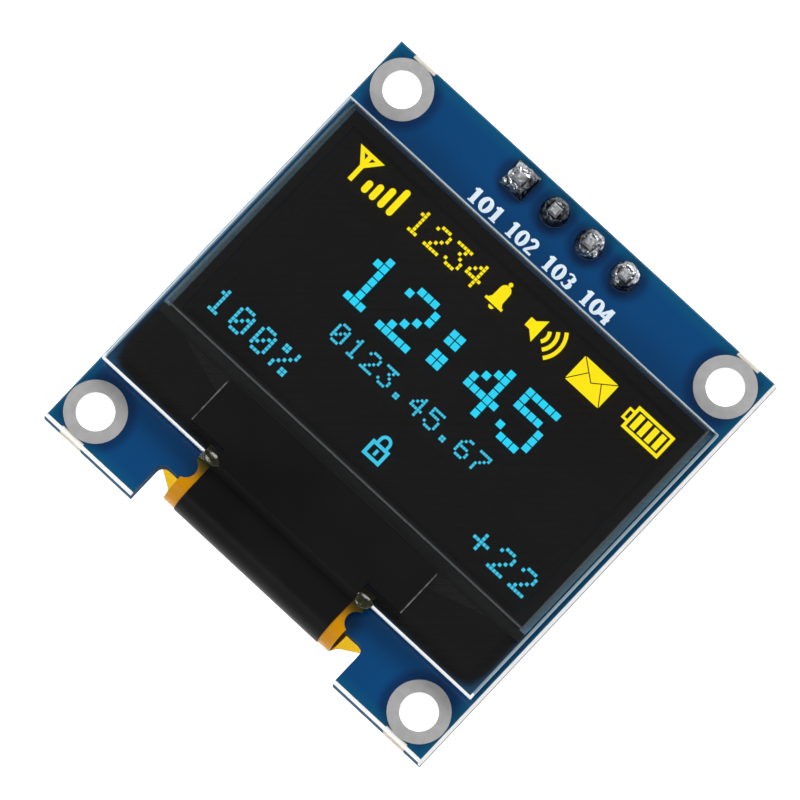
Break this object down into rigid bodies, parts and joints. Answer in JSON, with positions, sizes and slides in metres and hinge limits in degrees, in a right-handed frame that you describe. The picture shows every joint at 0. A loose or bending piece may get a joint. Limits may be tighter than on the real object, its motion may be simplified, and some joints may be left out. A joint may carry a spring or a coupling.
{
  "type": "small oled module",
  "caption": "Square circuit board with a thin glass display on the front, a ribbon circuit folded through a notch at the bottom and a pin header at the top back.",
  "frame": {"origin": "centre of the four mounting holes, on the back face of the bare board", "axes": "+X right and +Y up towards the pin header, seen from the display side; +Z out of the display"},
  "size_m": [0.0274, 0.0278, 0.0119],
  "materials": {
    "blue_solder_mask": "satin solder mask over woven glass and epoxy",
    "tinned_copper": "satin, levelled tin on copper",
    "gold_plated_pin": "bright plating",
    "solder": "bright, uneven",
    "black_moulding": "moulded, fine matt",
    "display_glass": "polished faces, scribed edges",
    "rear_glass": "polished, with an etched cavity",
    "seal_glue": "cured glue",
    "emitter_layers": "thin dark layers",
    "drying_sheet": "matt",
    "polariser_film": "smooth black film",
    "silicon": "ground silicon",
    "bonding_film": "thin glue film",
    "amber_polyimide": "glossy film over copper",
    "black_tape": "smooth black film",
    "clear_resin": "clear, uneven",
    "foam_tape": "dense black foam",
    "resistor_coat": "glass coat on alumina",
    "capacitor_ceramic": "fired ceramic",
    "tin_ends": "plated tin",
    "white_ink": "printed ink",
    "yellow_light": "lit segments",
    "cyan_light": "lit segments"
  },
  "bodies": {
    "root": {"circuit_board": "blue_solder_mask", "hole_ring_1": "tinned_copper", "hole_ring_2": "tinned_copper", "hole_ring_3": "tinned_copper", "hole_ring_4": "tinned_copper", "header_pad_1": "tinned_copper", "header_pad_2": "tinned_copper", "header_pad_3": "tinned_copper", "header_pad_4": "tinned_copper", "flex_pads": "tinned_copper", "chip_pads": "tinned_copper", "header_pin_1": "gold_plated_pin", "header_pin_2": "gold_plated_pin", "header_pin_3": "gold_plated_pin", "header_pin_4": "gold_plated_pin", "solder_joint_1": "solder", "solder_joint_2": "solder", "solder_joint_3": "solder", "solder_joint_4": "solder", "flex_solder": "solder", "chip_solder": "solder", "header_body": "black_moulding", "front_glass": "display_glass", "rear_glass": "rear_glass", "panel_seal": "seal_glue", "emitter_stack": "emitter_layers", "desiccant_sheet": "drying_sheet", "polariser": "polariser_film", "driver_chip": "silicon", "bonding_film": "bonding_film", "flex_circuit": "amber_polyimide", "light_shield_tape": "black_tape", "edge_resin": "clear_resin", "mounting_tape": "foam_tape", "ledge_pad_left": "foam_tape", "ledge_pad_right": "foam_tape", "resistor_1": "resistor_coat", "resistor_2": "resistor_coat", "resistor_3": "resistor_coat", "resistor_4": "resistor_coat", "resistor_5": "resistor_coat", "resistor_6": "resistor_coat", "resistor_7": "resistor_coat", "capacitor_1": "capacitor_ceramic", "capacitor_2": "capacitor_ceramic", "capacitor_3": "capacitor_ceramic", "capacitor_4": "capacitor_ceramic", "capacitor_5": "capacitor_ceramic", "capacitor_6": "capacitor_ceramic", "capacitor_7": "capacitor_ceramic", "resistor_ends": "tin_ends", "capacitor_ends": "tin_ends", "regulator_body": "black_moulding", "diode_body": "black_moulding", "regulator_leads": "tin_ends", "diode_leads": "tin_ends"}
  },
  "joints": []
}
